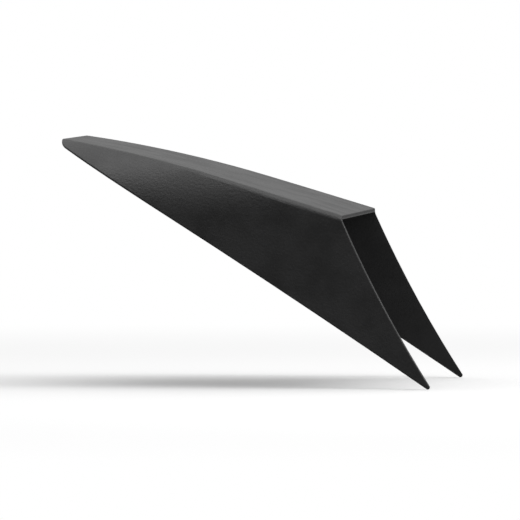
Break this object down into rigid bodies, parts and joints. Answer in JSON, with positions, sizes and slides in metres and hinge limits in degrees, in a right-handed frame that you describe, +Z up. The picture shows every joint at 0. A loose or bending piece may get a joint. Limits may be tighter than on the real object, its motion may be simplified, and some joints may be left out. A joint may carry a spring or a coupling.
{
  "type": "rear mudguard extender",
  "caption": "Matt black moulded extender that lengthens a motorbike's rear mudguard: a tapered tunnel with a sloping crown, creased shoulders, straight tail and a thinned front lap.",
  "frame": {"origin": "middle of the flat bonding land under the front of the crown", "axes": "+X forward, towards the lapped front edge; +Y left; +Z up, as fitted"},
  "size_m": [0.1404, 0.1322, 0.092],
  "materials": {
    "shell": "black moulded ABS with a fine matt grain"
  },
  "bodies": {
    "root": {"mudguard_extender": "shell"}
  },
  "joints": []
}
